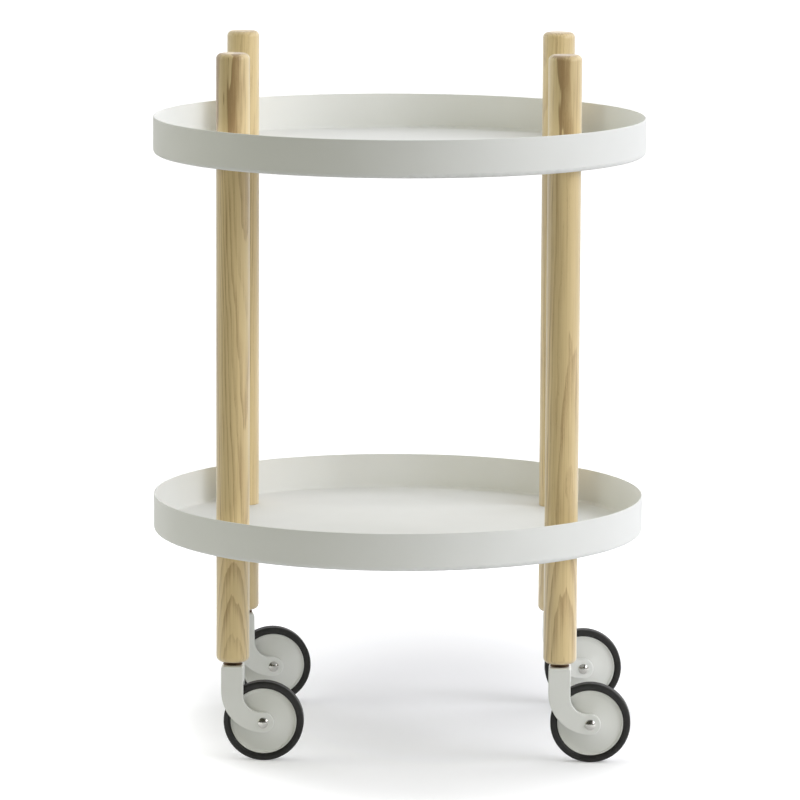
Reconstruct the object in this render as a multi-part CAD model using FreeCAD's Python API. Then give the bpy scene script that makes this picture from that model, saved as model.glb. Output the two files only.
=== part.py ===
import FreeCAD, Part
import math
import os

# A round rolling table with two tiers. Two pressed steel trays are clamped between the lengths of
# four turned ash posts, knob above column above foot, and each foot stands on a swivel caster.
# Millimetres, +Z up, origin on the floor under the middle of the trays, casters trailing to +X.

# Trays
tray_diameter = 450.0
tray_wall_height = 34.0
sheet_thickness = 1.5
tray_corner_radius = 4.0
tray_hole_clearance = 0.5
rim_round_share = 0.4

# Posts
post_diameter = 30.0
post_wall_gap = 14.0
post_angle_degrees = 40.7
foot_length = 100.0
column_length = 346.5
knob_length = 99.5
post_end_round = 5.0
post_edge_round = 0.4

# Hidden fixings of the posts
bolt_diameter = 8.0
bolt_grip_length = 32.0
bolt_reach = 23.0
bolt_point_length = 6.0
bolt_chamfer = 0.8
insert_diameter = 12.0
insert_length = 20.0
drill_room = 3.0
drill_point_share = 0.6
fit_clearance = 0.05

# Casters
caster_trail = 28.0
wheel_diameter = 72.4
running_clearance = 0.05
caster_turn_degrees = {
    "front_left": -1.0,
    "front_right": -2.0,
    "rear_right": 1.5,
    "rear_left": 7.0,
}

# Caster stem, which stays with the foot
stem_diameter = 10.0
stem_thread_length = 25.0
stem_collar_diameter = 16.0
stem_collar_thickness = 2.0
stem_collar_flats = 13.0
stem_groove_depth = 0.8
stem_end_length = 2.0
stem_tyre_clearance = 5.0
stem_chamfer = 0.6

# Swivel bearing
washer_diameter = 17.0
washer_thickness = 1.0
washer_hole_clearance = 0.3
swivel_bush_wall = 1.5
swivel_bush_length = 15.0
swivel_flange_diameter = 16.0
swivel_flange_thickness = 1.0
clip_diameter = 13.5
clip_thickness = 1.0
clip_mouth = 5.0
clip_play = 0.2
clip_pocket_clearance = 1.0

# Fork
fork_width = 20.0
fork_depth = 26.0
fork_arm_thickness = 4.0
fork_boss_radius = 9.5
fork_inside_radius = 15.0
fork_top_round = 2.5
fork_edge_round = 1.0
fork_tyre_clearance = 3.5

# Axle, a barrel and a screw with domed heads
axle_diameter = 6.0
axle_head_diameter = 9.4
axle_head_height = 2.6
axle_head_edge = 0.6
axle_barrel_stop = 0.4
axle_screw_diameter = 4.0
axle_screw_length = 15.0
axle_socket_flats = 2.5
axle_socket_depth = 1.6

# Wheel
rim_diameter = 59.6
rim_width = 9.4
rim_lip_width = 1.3
rim_lip_depth = 1.0
rim_lip_round = 0.4
dish_width = 2.6
dish_round = 9.0
hub_diameter = 19.0
hub_round = 3.0
hub_play = 0.4
wheel_bush_wall = 1.5
wheel_bush_play = 0.2

# Tyre
tyre_width = 12.6
tyre_edge_round = 1.8
tyre_side_height = 2.4
tyre_bead_width = 5.0
tyre_bead_depth = 1.5

# Helpers of the model, not sizes of the object
cut_overrun = 5.0
touch_tolerance = 1e-5

# Places that follow from the sizes, up from the floor
post_radius = post_diameter / 2
bolt_radius = bolt_diameter / 2
wheel_radius = wheel_diameter / 2
stem_radius = stem_diameter / 2
tyre_under_stem = wheel_radius + math.sqrt(wheel_radius**2 - (caster_trail - stem_radius) ** 2)
stem_end = tyre_under_stem + stem_tyre_clearance
clip_base = stem_end + stem_end_length
swivel_bush_base = clip_base + clip_thickness + clip_play
fork_top = swivel_bush_base + swivel_bush_length
stem_collar_base = fork_top + washer_thickness
foot_base = stem_collar_base + stem_collar_thickness
lower_tray_base = foot_base + foot_length
column_base = lower_tray_base + sheet_thickness
upper_tray_base = column_base + column_length
knob_base = upper_tray_base + sheet_thickness
post_circle_radius = tray_diameter / 2 - sheet_thickness - post_wall_gap - post_radius
post_x = post_circle_radius * math.cos(math.radians(post_angle_degrees))
post_y = post_circle_radius * math.sin(math.radians(post_angle_degrees))
fork_gap = fork_depth - 2 * fork_arm_thickness
swivel_bush_radius = stem_radius + running_clearance + swivel_bush_wall
wheel_bush_radius = axle_diameter / 2 + running_clearance + wheel_bush_wall

corners = {
    "front_left": (-1, -1),
    "front_right": (1, -1),
    "rear_right": (1, 1),
    "rear_left": (-1, 1),
}


def vector(x=0.0, y=0.0, z=0.0):
    return FreeCAD.Vector(x, y, z)


centre = vector()
rightward = vector(1, 0, 0)
backward = vector(0, 1, 0)
upward = vector(0, 0, 1)


def corner_ends(before, here, after, radius):
    """Where the arc that rounds a corner starts, passes and ends."""
    to_before = (before - here).normalize()
    to_after = (after - here).normalize()
    half_angle = to_before.getAngle(to_after) / 2
    leg = radius / math.tan(half_angle)
    depth = radius / math.sin(half_angle) - radius
    middle = here + (to_before + to_after).normalize() * depth
    return here + to_before * leg, middle, here + to_after * leg


def rounded_wire(outline):
    """Closed wire in the XZ plane through (x, z, radius) corners, a radius of zero being sharp."""
    points = [vector(x, 0, z) for x, z, radius in outline]
    count = len(outline)
    arcs = []
    for i in range(count):
        radius = outline[i][2]
        if radius > 0:
            arcs.append(corner_ends(points[i - 1], points[i], points[(i + 1) % count], radius))
        else:
            arcs.append((points[i], points[i], points[i]))
    edges = []
    for i in range(count):
        start, middle, end = arcs[i]
        following = arcs[(i + 1) % count][0]
        if outline[i][2] > 0:
            edges.append(Part.Arc(start, middle, end).toShape())
        if end.distanceToPoint(following) > touch_tolerance:
            edges.append(Part.LineSegment(end, following).toShape())
    return Part.Wire(edges)


def turned(outline):
    """Solid of revolution about Z of an outline of (radius, height, corner radius)."""
    return Part.Face(rounded_wire(outline)).revolve(centre, upward, 360)


def mirrored_outline(half_outline):
    """An outline of upper corners, run out and back again below the middle plane."""
    return half_outline + [(r, -z, rounding) for r, z, rounding in reversed(half_outline)]


def hexagon_prism(across_flats, height):
    circle_radius = across_flats / 2 / math.cos(math.pi / 6)
    angles = [math.pi / 3 * i for i in range(7)]
    points = [vector(circle_radius * math.cos(a), circle_radius * math.sin(a)) for a in angles]
    return Part.Face(Part.makePolygon(points)).extrude(vector(0, 0, height))


def drill_point(radius):
    return radius * drill_point_share


def tray(base):
    radius = tray_diameter / 2
    rim_round = sheet_thickness * rim_round_share
    top = base + tray_wall_height
    floor = base + sheet_thickness
    inside = radius - sheet_thickness
    shell = turned([
        (0, base, 0),
        (radius, base, tray_corner_radius),
        (radius, top, rim_round),
        (inside, top, rim_round),
        (inside, floor, tray_corner_radius - sheet_thickness),
        (0, floor, 0),
    ])
    hole = Part.makeCylinder(
        bolt_radius + tray_hole_clearance,
        sheet_thickness + 2 * cut_overrun,
        vector(0, 0, base - cut_overrun),
    )
    return shell.cut([on_post(hole, corner) for corner in corners])


def on_post(shape, corner):
    """A copy moved from the Z axis to the axis of a post."""
    side_x, side_y = corners[corner]
    return shape.translated(vector(side_x * post_x, side_y * post_y))


def knob():
    top = knob_base + knob_length
    bore = bolt_radius + fit_clearance
    bore_top = knob_base + bolt_grip_length + drill_room
    return turned([
        (0, top, 0),
        (post_radius, top, post_end_round),
        (post_radius, knob_base, post_edge_round),
        (bore, knob_base, 0),
        (bore, bore_top, 0),
        (0, bore_top + drill_point(bore), 0),
    ])


def column():
    top = column_base + column_length
    bore = insert_diameter / 2 + fit_clearance
    bore_depth = bolt_reach - sheet_thickness + drill_room
    return turned([
        (0, top - bore_depth - drill_point(bore), 0),
        (bore, top - bore_depth, 0),
        (bore, top, 0),
        (post_radius, top, post_edge_round),
        (post_radius, column_base, post_edge_round),
        (bore, column_base, 0),
        (bore, column_base + bore_depth, 0),
        (0, column_base + bore_depth + drill_point(bore), 0),
    ])


def foot():
    top = foot_base + foot_length
    bolt_bore = bolt_radius + fit_clearance
    bolt_bore_base = top - bolt_grip_length - drill_room
    insert_bore = insert_diameter / 2 + fit_clearance
    insert_bore_top = foot_base + stem_thread_length + drill_room
    return turned([
        (0, bolt_bore_base - drill_point(bolt_bore), 0),
        (bolt_bore, bolt_bore_base, 0),
        (bolt_bore, top, 0),
        (post_radius, top, post_edge_round),
        (post_radius, foot_base, post_end_round),
        (insert_bore, foot_base, 0),
        (insert_bore, insert_bore_top, 0),
        (0, insert_bore_top + drill_point(insert_bore), 0),
    ])


def hanger_bolt():
    """Bolt with its pointed wood end up, its shoulder plane at height zero."""
    return turned([
        (0, bolt_grip_length, 0),
        (bolt_radius, bolt_grip_length - bolt_point_length, 0),
        (bolt_radius, bolt_chamfer - bolt_reach, 0),
        (bolt_radius - bolt_chamfer, -bolt_reach, 0),
        (0, -bolt_reach, 0),
    ])


def threaded_insert(base):
    outside = insert_diameter / 2
    inside = bolt_radius + fit_clearance
    top = base + insert_length
    return turned([(inside, base, 0), (outside, base, 0), (outside, top, 0), (inside, top, 0)])


def stem():
    groove = stem_radius - stem_groove_depth
    collar = stem_collar_diameter / 2
    thread_top = foot_base + stem_thread_length
    clip_top = clip_base + clip_thickness
    body = turned([
        (0, thread_top, 0),
        (bolt_radius - stem_chamfer, thread_top, 0),
        (bolt_radius, thread_top - stem_chamfer, 0),
        (bolt_radius, foot_base, 0),
        (collar, foot_base, 0),
        (collar, stem_collar_base, 0),
        (stem_radius, stem_collar_base, 0),
        (stem_radius, clip_top + fit_clearance, 0),
        (groove, clip_top + fit_clearance, 0),
        (groove, clip_base - fit_clearance, 0),
        (stem_radius, clip_base - fit_clearance, 0),
        (stem_radius, stem_end + stem_chamfer, 0),
        (stem_radius - stem_chamfer, stem_end, 0),
        (0, stem_end, 0),
    ])
    spanner_side = Part.makeBox(
        stem_collar_diameter + 2 * cut_overrun,
        stem_collar_diameter,
        stem_collar_thickness,
        vector(-collar - cut_overrun, stem_collar_flats / 2, stem_collar_base),
    )
    return body.cut([spanner_side, spanner_side.rotated(centre, upward, 180)])


def thrust_washer():
    inside = stem_radius + washer_hole_clearance
    outside = washer_diameter / 2
    return turned([
        (inside, fork_top, 0),
        (outside, fork_top, 0),
        (outside, stem_collar_base, 0),
        (inside, stem_collar_base, 0),
    ])


def swivel_bush():
    inside = stem_radius + running_clearance
    flange = swivel_flange_diameter / 2
    flange_base = fork_top - swivel_flange_thickness
    return turned([
        (inside, fork_top, 0),
        (flange, fork_top, 0),
        (flange, flange_base, 0),
        (swivel_bush_radius, flange_base, 0),
        (swivel_bush_radius, swivel_bush_base, 0),
        (inside, swivel_bush_base, 0),
    ])


def retaining_clip():
    inside = stem_radius - stem_groove_depth + fit_clearance
    outside = clip_diameter / 2
    top = clip_base + clip_thickness
    ring = turned([(inside, clip_base, 0), (outside, clip_base, 0), (outside, top, 0), (inside, top, 0)])
    mouth = Part.makeBox(
        outside + cut_overrun,
        clip_mouth,
        clip_thickness + 2 * cut_overrun,
        vector(0, -clip_mouth / 2, clip_base - cut_overrun),
    )
    return ring.cut(mouth)


def arc_edge(middle_x, middle_z, radius, start, end):
    """Arc in the XZ plane about a middle point, between two angles in radians."""
    angles = (start, (start + end) / 2, end)
    points = [
        vector(middle_x + radius * math.cos(a), 0, middle_z + radius * math.sin(a)) for a in angles
    ]
    return Part.Arc(*points).toShape()


def fork_outline():
    """Side outline of the fork: a straight neck that swings round into the boss of the axle."""
    half = fork_width / 2
    top_round_z = fork_top - fork_top_round
    inside_x = half + fork_inside_radius
    reach = fork_inside_radius + fork_boss_radius
    inside_z = wheel_radius + math.sqrt(reach**2 - (caster_trail - inside_x) ** 2)
    boss_start = math.atan2(inside_z - wheel_radius, inside_x - caster_trail)
    outside_radius = caster_trail + half
    outside_z = wheel_radius - fork_boss_radius + outside_radius
    quarter = math.pi / 2
    return Part.Wire([
        arc_edge(fork_top_round - half, top_round_z, fork_top_round, math.pi, quarter),
        Part.LineSegment(
            vector(fork_top_round - half, 0, fork_top), vector(half - fork_top_round, 0, fork_top)
        ).toShape(),
        arc_edge(half - fork_top_round, top_round_z, fork_top_round, quarter, 0),
        Part.LineSegment(vector(half, 0, top_round_z), vector(half, 0, inside_z)).toShape(),
        arc_edge(inside_x, inside_z, fork_inside_radius, math.pi, boss_start + math.pi),
        arc_edge(caster_trail, wheel_radius, fork_boss_radius, boss_start, -quarter),
        arc_edge(caster_trail, outside_z, outside_radius, -quarter, -math.pi),
        Part.LineSegment(vector(-half, 0, outside_z), vector(-half, 0, top_round_z)).toShape(),
    ])


def fork():
    half_depth = fork_depth / 2
    face = Part.Face(fork_outline()).translated(vector(0, -half_depth, 0))
    body = face.extrude(vector(0, fork_depth, 0))
    side_edges = [
        edge for edge in body.Edges
        if abs(abs(edge.CenterOfMass.y) - half_depth) < touch_tolerance
    ]
    body = body.makeFillet(fork_edge_round, side_edges)
    wheel_slot = Part.makeCylinder(
        wheel_radius + fork_tyre_clearance,
        fork_gap,
        vector(caster_trail, -fork_gap / 2, wheel_radius),
        backward,
    )
    axle_bore = Part.makeCylinder(
        axle_diameter / 2 + fit_clearance,
        fork_depth + 2 * cut_overrun,
        vector(caster_trail, -half_depth - cut_overrun, wheel_radius),
        backward,
    )
    bush_bore = Part.makeCylinder(
        swivel_bush_radius + fit_clearance,
        fork_top - wheel_radius + cut_overrun,
        vector(0, 0, wheel_radius),
    )
    flange_seat = Part.makeCylinder(
        swivel_flange_diameter / 2 + fit_clearance,
        swivel_flange_thickness + cut_overrun,
        vector(0, 0, fork_top - swivel_flange_thickness),
    )
    clip_pocket = Part.makeCylinder(
        clip_diameter / 2 + clip_pocket_clearance,
        swivel_bush_base - wheel_radius,
        vector(0, 0, wheel_radius),
    )
    return body.cut([wheel_slot, axle_bore, bush_bore, flange_seat, clip_pocket])


def on_axle(shape):
    """A copy of a piece turned about Z, laid along the axle of the caster."""
    return shape.rotated(centre, rightward, -90).translated(vector(caster_trail, 0, wheel_radius))


def domed_head(base):
    """Corners of a head that stands at a height: a short straight edge under a cap of a ball."""
    radius = axle_head_diameter / 2
    cap_height = axle_head_height - axle_head_edge
    ball_radius = (radius**2 + cap_height**2) / (2 * cap_height)
    crown = base + axle_head_height
    return [
        (radius, base, 0),
        (radius, base + axle_head_edge, 0),
        (ball_radius * cap_height / radius, crown, ball_radius),
        (0, crown, 0),
    ]


def axle_barrel():
    radius = axle_diameter / 2
    bore = axle_screw_diameter / 2 + fit_clearance
    half_depth = fork_depth / 2
    end = axle_barrel_stop - half_depth
    bore_top = end + axle_screw_length
    barrel = turned(domed_head(half_depth) + [
        (0, bore_top + drill_point(bore), 0),
        (bore, bore_top, 0),
        (bore, end, 0),
        (radius, end, 0),
        (radius, half_depth, 0),
    ])
    return on_axle(barrel.rotated(centre, rightward, 180))


def axle_screw():
    radius = axle_screw_diameter / 2
    base = fork_depth / 2
    end = base - axle_screw_length
    screw = turned(domed_head(base) + [(0, end, 0), (radius, end, 0), (radius, base, 0)])
    socket = hexagon_prism(axle_socket_flats, axle_socket_depth + cut_overrun)
    socket_base = base + axle_head_height - axle_socket_depth
    return on_axle(screw.cut(socket.translated(vector(0, 0, socket_base))))


def wheel():
    rim = rim_diameter / 2
    rim_half = rim_width / 2
    lip = rim - rim_lip_width
    dish_half = rim_half - rim_lip_depth
    hub_half = fork_gap / 2 - hub_play
    bore = wheel_bush_radius + fit_clearance
    seat = rim - tyre_bead_depth
    bead_half = tyre_bead_width / 2
    return on_axle(turned(mirrored_outline([
        (bore, hub_half, 0),
        (hub_diameter / 2, hub_half, hub_round),
        (lip - dish_width, dish_half, dish_round),
        (lip, dish_half, rim_lip_round),
        (lip, rim_half, rim_lip_round),
        (rim, rim_half, rim_lip_round),
        (rim, bead_half, 0),
        (seat, bead_half, 0),
    ])))


def wheel_bush():
    inside = axle_diameter / 2 + running_clearance
    half = fork_gap / 2 - wheel_bush_play
    return on_axle(turned(mirrored_outline([(inside, half, 0), (wheel_bush_radius, half, 0)])))


def tyre():
    seat = rim_diameter / 2 + fit_clearance
    bead = seat - tyre_bead_depth
    bead_half = tyre_bead_width / 2 - fit_clearance
    rim_half = rim_width / 2
    half = tyre_width / 2
    return on_axle(turned(mirrored_outline([
        (bead, bead_half, 0),
        (seat, bead_half, 0),
        (seat, rim_half, 0),
        (seat + tyre_side_height, half, tyre_side_height),
        (wheel_radius, half, tyre_edge_round),
    ])))


def on_caster(shape, corner):
    """A copy of a piece of the caster, turned to its rest and moved to its corner."""
    return on_post(shape.rotated(centre, upward, caster_turn_degrees[corner]), corner)


def save(shape, node):
    shape.exportStep(os.path.join("parts", node + ".step"))


def save_group(solids, node):
    save(Part.makeCompound(solids), node)


os.makedirs("parts", exist_ok=True)

save(tray(upper_tray_base), "upper_tray")
save(tray(lower_tray_base), "lower_tray")

post_pieces = {"knob": knob(), "column": column(), "foot": foot()}
caster_pieces = {
    "stem": stem(),
    "thrust_washer": thrust_washer(),
    "swivel_bush": swivel_bush(),
    "retaining_clip": retaining_clip(),
    "fork": fork(),
    "axle_barrel": axle_barrel(),
    "axle_screw": axle_screw(),
    "wheel": wheel(),
    "wheel_bush": wheel_bush(),
    "tyre": tyre(),
}
for corner in corners:
    for name, piece in post_pieces.items():
        save(on_post(piece, corner), name + "_" + corner)
    for name, piece in caster_pieces.items():
        save(on_caster(piece, corner), name + "_" + corner)

upper_bolt = hanger_bolt().translated(vector(0, 0, knob_base))
lower_bolt = hanger_bolt().rotated(centre, rightward, 180).translated(vector(0, 0, lower_tray_base))
column_top_insert = threaded_insert(upper_tray_base - insert_length)
column_base_insert = threaded_insert(column_base)
foot_insert = threaded_insert(foot_base)
save_group([on_post(upper_bolt, corner) for corner in corners], "upper_hanger_bolts")
save_group([on_post(lower_bolt, corner) for corner in corners], "lower_hanger_bolts")
save_group(
    [on_post(insert, corner) for corner in corners for insert in (column_top_insert, column_base_insert)],
    "column_inserts",
)
save_group([on_post(foot_insert, corner) for corner in corners], "foot_inserts")
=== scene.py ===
import math

import bmesh
import bpy
from mathutils import Matrix, Vector


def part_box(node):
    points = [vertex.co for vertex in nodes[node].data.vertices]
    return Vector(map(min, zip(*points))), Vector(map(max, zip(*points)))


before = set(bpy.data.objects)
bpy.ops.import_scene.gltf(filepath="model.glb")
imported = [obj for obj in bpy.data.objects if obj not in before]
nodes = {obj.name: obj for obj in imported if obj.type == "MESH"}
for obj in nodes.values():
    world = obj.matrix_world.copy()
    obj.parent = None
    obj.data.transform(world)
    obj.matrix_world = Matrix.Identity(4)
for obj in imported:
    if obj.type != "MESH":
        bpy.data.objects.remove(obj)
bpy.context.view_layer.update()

mm = 0.001
corners = ("front_left", "front_right", "rear_right", "rear_left")


def rgb(red, green, blue):
    """A colour as shares of linear light."""
    return (red, green, blue, 1.0)


white = rgb(1.0, 1.0, 1.0)
black = rgb(0.0, 0.0, 0.0)

# Camera, fitted to the tray rims, the posts and the tyres of the photograph
image_pixels = 800
sensor_width = 36.0
focal_pixels = 5322.7
view_reach = 100.0
camera_place = Vector((32.4, -4840.6, 1032.0)) * mm
camera_pitch = math.radians(8.482)
camera_roll = math.radians(0.276)
camera_yaw = math.radians(-0.367)

# Floor, in metres. It keeps the shadow in an oval under the table. The spans are shares of that
# oval: over the first two the floor lifts to white, and over the last it turns grey, so that it
# throws less light back up.
floor_reach = 14.0
floor_pale = rgb(0.822, 0.825, 0.85)
floor_grey = rgb(0.3, 0.3, 0.3)
floor_roughness = 0.9
shadow_middle = (0.04, 0.16, 0.0)
shadow_oval = (0.21, 0.42, 1.0)
shadow_lift = 0.25
lift_span = (0.25, 1.05)
white_span = (0.95, 1.6)
grey_span = (1.5, 4.0)

# Room, in shares of white: bright behind the table, dim and warm in front of it, and dimmer still
# where gloss mirrors it. The spans run along Y, as a share of the way looked or, on the floor, in metres.
backdrop_level = 1.75
room_level = 0.5
room_tint = rgb(1.0, 1.0, 0.76)
room_tint_span = (-0.2, 0.2)
mirror_level = 0.08
mirror_span = (0.05, 0.4)
floor_mirror_span = (-1.0, -0.3)

# Lamps: the angle from +X about the table, the angle above the floor, the size, the power and
# how blue the light is
lamp_distance = 3.0
lamp_aim = Vector((0.0, 0.0, 0.35))
lamps = {
    "key_high": (-10, 32, 1.4, 26.5, 1.04),
    "key_front": (-30, 18, 1.4, 25.5, 1.04),
    "key_back": (40, 32, 1.4, 8.0, 1.04),
    "over": (90, 89, 2.0, 17.0, 1.04),
    "left": (180, 18, 1.4, 17.5, 0.84),
}

# Noise: its middle and the span that holds most of it. Everywhere below, its scale is in waves to a mm.
noise_middle = 0.5
noise_span = (0.3, 0.7)

# Ash: its palest and deepest tone, then for each length of post the angle about its axis at
# which the pith stands, the pith's distance and lean, the spacing and depth of the rings and a seed
ash_pale = rgb(0.775, 0.595, 0.285)
ash_deep = rgb(0.395, 0.233, 0.072)
ash_grain = {
    "knob_front_left": (180, 30, 0.02, 20.0, 1.35, 15.3),
    "column_front_left": (140, 30, 0.03, 2.6, 0.55, 5.1),
    "foot_front_left": (95, 30, -0.10, 2.9, 0.55, 7.7),
    "knob_front_right": (180, 41, 0.03, 30.0, 0.9, 12.6),
    "column_front_right": (125, 28, -0.02, 3.5, 0.55, 13.9),
    "foot_front_right": (105, 30, -0.06, 4.0, 0.55, 16.9),
    "knob_rear_right": (20, 40, 0.05, 2.9, 0.25, 19.5),
    "column_rear_right": (190, 34, 0.02, 3.1, 0.35, 22.8),
    "foot_rear_right": (60, 28, -0.07, 3.6, 0.55, 25.1),
    "knob_rear_left": (160, 32, -0.04, 3.3, 0.2, 28.6),
    "column_rear_left": (30, 36, 0.025, 2.8, 0.2, 31.3),
    "foot_rear_left": (115, 30, -0.08, 3.4, 0.2, 34.9),
}

# Streaks in the ash: the scale across the post, the share of it along the post and the detail
ash_streaks = {
    "wander": (0.06, 0.16, 2.0),
    "jag": (0.45, 0.05, 1.0),
    "fibre": (0.7, 0.016, 4.0),
    "drift": (0.09, 0.08, 2.0),
    "pore": (3.6, 0.05, 1.0),
}
streak_roughness = 0.6
streak_shift = 9.1

# Rings in the ash, in years: how far streaks push them, where the dark start of a year is deepest
# and where it has faded, and how the depth varies from year to year
wander_push = 1.5
jag_push = 0.35
year_deepest = 0.07
year_faded = 0.75
year_step = 7.3
year_scale = 1.7
faintest_year = 0.35
pore_span = (0.56, 0.7)

# Tone of the ash: what it starts from and what each layer adds. End grain ends in the rounded edge,
# between two distances from the post's side, in mm.
plain_tone = 0.1
fibre_tone = 1.2
drift_tone = 0.7
pore_tone = 0.22
end_tone = 0.35
end_fade = (3.5, 0.7)

# Gloss and relief of the ash
fibre_span = (0.2, 0.8)
fibre_roughness = (0.28, 0.42)
end_roughness = 0.45
ash_shine = 0.55
ash_sheen = 0.6
ash_sheen_roughness = 0.65
fibre_height = 0.3
ash_relief = (0.25, 0.15 * mm)

# Paints and plastics: the palest and deepest tone, the roughness, the shine and the scale of the peel
paints = {
    "tray_paint": (rgb(0.86, 0.872, 0.864), rgb(0.84, 0.852, 0.844), 0.56, 0.15, 0.9),
    "fork_paint": (rgb(0.857, 0.868, 0.85), rgb(0.832, 0.843, 0.825), 0.36, 0.45, 1.1),
    "wheel_plastic": (rgb(0.793, 0.803, 0.777), rgb(0.768, 0.778, 0.752), 0.42, 0.35, 1.6),
    "nylon": (rgb(0.66, 0.64, 0.57), rgb(0.6, 0.58, 0.5), 0.5, 0.4, 1.2),
}
paint_drift_scale = 0.012
paint_drift_detail = 3.0
paint_roughness_drift = (-0.04, 0.05)
peel_relief = (0.06, 0.2 * mm)

# Rubber of the tyres
rubber_black = rgb(0.012, 0.012, 0.0115)
rubber_scuffed = rgb(0.026, 0.025, 0.023)
rubber_roughness = (0.46, 0.64)
rubber_shine = 0.4
scuff_scale = 0.25
scuff_detail = 4.0
scuff_roughness = 0.6
scuff_span = (0.35, 0.75)
rubber_grain_scale = 2.2
rubber_relief = (0.12, 0.15 * mm)

# Metals: the colour, the roughness and how far wear adds to it
metals = {
    "axle_chrome": (rgb(0.54, 0.53, 0.50), 0.18, 0.08),
    # The stem and the thrust washer are metal, coloured dark brown as painted shade and a painted brown
    # reflection of the wood, for the narrow gap under each post
    "stem_painted_shade": (rgb(0.13, 0.085, 0.05), 0.42, 0.16),
    "plated_steel": (rgb(0.46, 0.45, 0.43), 0.34, 0.14),
}
wear_scale = 0.9
wear_detail = 3.0
worn_share = 0.86

# Finishes of the pieces, other than the posts
tray_finishes = {"upper_tray": "tray_paint", "lower_tray": "tray_paint"}
caster_finishes = {
    "fork": "fork_paint",
    "wheel": "wheel_plastic",
    "tyre": "tyre_rubber",
    "axle_barrel": "axle_chrome",
    "axle_screw": "axle_chrome",
    # the stem and the thrust washer take the dark brown painted shade of the gap under each post
    "stem": "stem_painted_shade",
    "thrust_washer": "stem_painted_shade",
    "retaining_clip": "plated_steel",
    "swivel_bush": "nylon",
    "wheel_bush": "nylon",
}
fixing_finishes = {
    "upper_hanger_bolts": "plated_steel",
    "lower_hanger_bolts": "plated_steel",
    "column_inserts": "plated_steel",
    "foot_inserts": "plated_steel",
}


class Value:
    """A shader socket that takes plain arithmetic."""

    def __init__(self, graph, socket):
        self.graph = graph
        self.socket = socket

    def math(self, operation, *others):
        return self.graph.node("ShaderNodeMath", self, *others, operation=operation)

    def __add__(self, other):
        return self.math("ADD", other)

    __radd__ = __add__

    def __sub__(self, other):
        return self.math("SUBTRACT", other)

    def __rsub__(self, other):
        return self.graph.node("ShaderNodeMath", other, self, operation="SUBTRACT")

    def __mul__(self, other):
        return self.math("MULTIPLY", other)

    __rmul__ = __mul__

    def __truediv__(self, other):
        return self.math("DIVIDE", other)

    def __rtruediv__(self, other):
        return self.graph.node("ShaderNodeMath", other, self, operation="DIVIDE")

    def ramp(self, low, high, to_low=0.0, to_high=1.0):
        """A smooth step from one value to another as this goes from low to high."""
        return self.graph.node(
            "ShaderNodeMapRange", self, low, high, to_low, to_high, interpolation_type="SMOOTHSTEP"
        )

    def part(self, output):
        """Another output of the node that this comes from, by its name or its number."""
        return Value(self.graph, self.socket.node.outputs[output])


class Graph:
    """The nodes of one material, or of the world."""

    def __init__(self, tree):
        self.tree = tree

    def node(self, kind, *inputs, **settings):
        """Adds a node, sets it up and returns its first output. Inputs are values, colours or None."""
        made = self.tree.nodes.new(kind)
        for name, setting in settings.items():
            setattr(made, name, setting)
        for slot, given in zip(made.inputs, inputs):
            self.feed(slot, given)
        return Value(self, made.outputs[0])

    def feed(self, slot, given):
        """Links a value to a socket, or sets the socket to a number or colour. None leaves it alone."""
        if isinstance(given, Value):
            self.tree.links.new(given.socket, slot)
        elif given is not None:
            slot.default_value = given

    def place(self, origin=(0.0, 0.0, 0.0)):
        """Object coordinates about an origin, in mm."""
        spot = self.node("ShaderNodeTexCoord").part("Object")
        return self.node("ShaderNodeMapping", spot, origin, None, (mm, mm, mm), vector_type="TEXTURE")

    def noise(self, spot, scale, detail=2.0, roughness=0.5):
        return self.node("ShaderNodeTexNoise", spot, None, scale, detail, roughness)

    def mix(self, share, first, second):
        """A colour between two colours."""
        unused = [None] * 5
        return self.node("ShaderNodeMix", share, *unused, first, second, data_type="RGBA").part(2)

    def rays(self):
        """Whether a ray comes from the camera, straight or through glass, and whether from gloss."""
        paths = self.node("ShaderNodeLightPath")
        seen = paths.part("Is Camera Ray").math("MAXIMUM", paths.part("Is Transmission Ray"))
        return seen, paths.part("Is Glossy Ray")


class Finish(Graph):
    """A material on one Principled shader."""

    def __init__(self, name):
        self.material = bpy.data.materials.new(name)
        self.material.use_nodes = True
        super().__init__(self.material.node_tree)
        self.shader = self.tree.nodes["Principled BSDF"]

    def set(self, **sockets):
        for name, given in sockets.items():
            title = name.replace("_", " ").title().replace("Ior", "IOR")
            self.feed(self.shader.inputs[title], given)

    def bump(self, height, strength, distance):
        self.set(normal=self.node("ShaderNodeBump", strength, distance, None, height))


def painted(name, pale, deep, roughness, shine, peel):
    """Baked white paint: a fine orange peel, with the gloss and the tone drifting a little."""
    paint = Finish(name)
    spot = paint.place()
    drift = paint.noise(spot, paint_drift_scale, paint_drift_detail)
    smoothest, roughest = (roughness + change for change in paint_roughness_drift)
    paint.set(base_color=paint.mix(drift.ramp(*noise_span), pale, deep))
    paint.set(roughness=drift.ramp(*noise_span, smoothest, roughest), specular_ior_level=shine)
    paint.bump(paint.noise(spot, peel), *peel_relief)
    return paint.material


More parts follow.
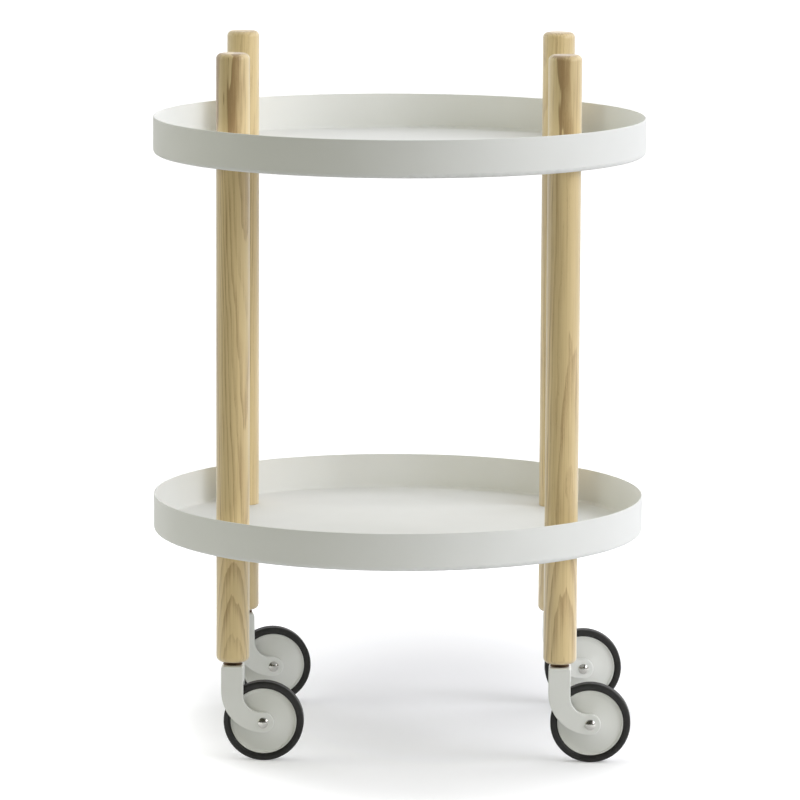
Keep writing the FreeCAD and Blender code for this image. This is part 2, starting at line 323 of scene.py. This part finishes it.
def ash(node, angle, distance, lean, spacing, depth, seed):
    """Ash turned from one board: rings about a pith line beside the post, pores and fibres along it
    and deeper end grain.

    The pith stands at an angle about the post's axis and a distance from it, in mm, and leans
    away from it by a share of the height. Rings are a spacing apart.
    """
    wood = Finish("ash_" + node)
    low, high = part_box(node)
    radius = (high[0] - low[0]) / 2 / mm
    axes = wood.node("ShaderNodeSeparateXYZ", wood.place((low + high) / 2))
    across, over, along = axes.part("X"), axes.part("Y"), axes.part("Z")

    def streaks(layer):
        """Noise drawn out along the grain."""
        scale, stretch, detail = ash_streaks[layer]
        drawn = (across * scale, over * scale, along * (scale * stretch) + seed * streak_shift)
        return wood.noise(wood.node("ShaderNodeCombineXYZ", *drawn), 1.0, detail, streak_roughness)

    heart = along * lean + distance
    east = across - heart * math.cos(math.radians(angle))
    north = over - heart * math.sin(math.radians(angle))
    reach = (east * east + north * north).math("SQRT")
    wander = (streaks("wander") - noise_middle) * wander_push
    ring = reach / spacing + wander + streaks("jag") * jag_push + seed
    year = ring.math("FRACT")
    early = year.ramp(0.0, year_deepest) * year.ramp(year_deepest, year_faded, 1.0, 0.0)
    number = wood.node("ShaderNodeCombineXYZ", ring.math("FLOOR") * year_step, seed, 0.0)
    band = early * wood.noise(number, year_scale, 0.0).ramp(*noise_span, faintest_year, 1.0)

    fibre = streaks("fibre")
    drift = streaks("drift")
    pore = streaks("pore").ramp(*pore_span) * early
    inside, edge = (radius - fade for fade in end_fade)
    ends = (across * across + over * over).math("SQRT").ramp(inside, edge, 1.0, 0.0)
    tone = band * depth + (fibre - noise_middle) * fibre_tone + (drift - noise_middle) * drift_tone
    tone = tone + pore * pore_tone + ends * end_tone + plain_tone
    wood.set(base_color=wood.mix(tone.ramp(0.0, 1.0), ash_pale, ash_deep))
    wood.set(roughness=fibre.ramp(*fibre_span, *fibre_roughness) + ends * end_roughness)
    wood.set(specular_ior_level=ash_shine, sheen_weight=ash_sheen, sheen_roughness=ash_sheen_roughness)
    wood.bump(fibre * fibre_height - pore, *ash_relief)
    return wood.material


def rubber(name):
    """Matt black rubber, paler where it is scuffed."""
    tyre = Finish(name)
    spot = tyre.place()
    scuff = tyre.noise(spot, scuff_scale, scuff_detail, scuff_roughness)
    tyre.set(base_color=tyre.mix(scuff.ramp(*scuff_span), rubber_black, rubber_scuffed))
    tyre.set(roughness=scuff.ramp(*noise_span, *rubber_roughness), specular_ior_level=rubber_shine)
    tyre.bump(tyre.noise(spot, rubber_grain_scale), *rubber_relief)
    return tyre.material


def metal(name, colour, roughness, spread):
    """Bare or plated metal, darker and duller where it is worn."""
    plate = Finish(name)
    wear = plate.noise(plate.place(), wear_scale, wear_detail)
    worn = rgb(*[share * worn_share for share in colour[:3]])
    plate.set(base_color=plate.mix(wear, colour, worn), metallic=1.0)
    plate.set(roughness=wear.ramp(*noise_span, roughness, roughness + spread))
    return plate.material


def dress(node, material):
    """Gives a node of the frame a finish."""
    for holder in nodes[node].material_slots:
        holder.material = material


def dress_all():
    """Gives every node of the frame its finish."""
    finishes = {name: painted(name, *paint) for name, paint in paints.items()}
    finishes.update({name: metal(name, *plate) for name, plate in metals.items()})
    finishes["tyre_rubber"] = rubber("tyre_rubber")
    for node, grain in ash_grain.items():
        dress(node, ash(node, *grain))
    for node, finish in (tray_finishes | fixing_finishes).items():
        dress(node, finishes[finish])
    for corner in corners:
        for piece, finish in caster_finishes.items():
            dress(piece + "_" + corner, finishes[finish])


def floor():
    """A white floor that keeps the table's shadow and fades into the white around it."""
    mesh = bpy.data.meshes.new("floor")
    sheet = bmesh.new()
    bmesh.ops.create_grid(sheet, x_segments=1, y_segments=1, size=floor_reach)
    sheet.to_mesh(mesh)
    sheet.free()
    piece = bpy.data.objects.new("floor", mesh)
    bpy.context.scene.collection.objects.link(piece)

    ground = Finish("floor_white")
    spot = ground.node("ShaderNodeTexCoord").part("Object")
    oval = ground.node(
        "ShaderNodeMapping", spot, shadow_middle, None, shadow_oval, vector_type="TEXTURE"
    )
    away = ground.node("ShaderNodeVectorMath", oval, operation="LENGTH").part("Value")
    backward = ground.node("ShaderNodeSeparateXYZ", spot).part("Y")
    seen, glossy = ground.rays()
    mirrored = glossy * backward.ramp(*floor_mirror_span, mirror_level, 1.0)
    lift = away.ramp(*lift_span, 0.0, shadow_lift) + away.ramp(*white_span, 0.0, 1.0 - shadow_lift)
    glow = seen.math("MAXIMUM", mirrored) * lift
    ground.set(base_color=ground.mix(away.ramp(*grey_span), floor_pale, floor_grey))
    ground.set(roughness=floor_roughness, emission_strength=1.0)
    ground.set(emission_color=ground.mix(glow, black, white))
    mesh.materials.append(ground.material)


def softbox(name, turn, rise, size, power, blue):
    """A square lamp that faces the middle of the table."""
    turn, rise = math.radians(turn), math.radians(rise)
    level = math.cos(rise)
    way = Vector((level * math.cos(turn), level * math.sin(turn), math.sin(rise)))
    lamp = bpy.data.lights.new(name, "AREA")
    lamp.shape = "SQUARE"
    lamp.size = size
    lamp.energy = power
    lamp.color = (1.0, 1.0, blue)
    holder = bpy.data.objects.new(name, lamp)
    holder.location = lamp_aim + way * lamp_distance
    holder.rotation_euler = way.to_track_quat("Z", "Y").to_euler()
    bpy.context.scene.collection.objects.link(holder)


def surroundings():
    """Studio light: a white backdrop behind the table and a dim room in front of it."""
    world = bpy.data.worlds.new("studio")
    bpy.context.scene.world = world
    world.use_nodes = True
    sky = Graph(world.node_tree)
    backdrop = sky.tree.nodes["Background"]
    way = sky.node("ShaderNodeSeparateXYZ", sky.node("ShaderNodeTexCoord").part("Generated"))
    backward = way.part("Y")
    seen, glossy = sky.rays()
    tint = sky.mix(seen.math("MAXIMUM", backward.ramp(*room_tint_span)), room_tint, white)
    studio = backward.math("MAXIMUM", 0.0) * backdrop_level + backward.math("MINIMUM", 0.0) * -room_level
    mirrored = backward.ramp(*mirror_span, mirror_level, 1.0)
    level = studio + (mirrored - studio) * glossy
    sky.feed(backdrop.inputs["Color"], tint)
    sky.feed(backdrop.inputs["Strength"], level + (1.0 - level) * seen)


def photograph():
    """A camera where the photograph's stood."""
    view = bpy.data.cameras.new("camera")
    view.sensor_width = sensor_width
    view.lens = focal_pixels / image_pixels * sensor_width
    view.clip_end = view_reach
    holder = bpy.data.objects.new("camera", view)
    turn = (
        Matrix.Rotation(-camera_yaw, 4, "Z")
        @ Matrix.Rotation(math.pi / 2 - camera_pitch, 4, "X")
        @ Matrix.Rotation(camera_roll, 4, "Z")
    )
    holder.matrix_world = Matrix.Translation(camera_place) @ turn
    bpy.context.scene.collection.objects.link(holder)
    bpy.context.scene.camera = holder


dress_all()
floor()
for name, lamp in lamps.items():
    softbox(name, *lamp)
surroundings()
photograph()
bpy.context.scene.view_settings.view_transform = "Standard"
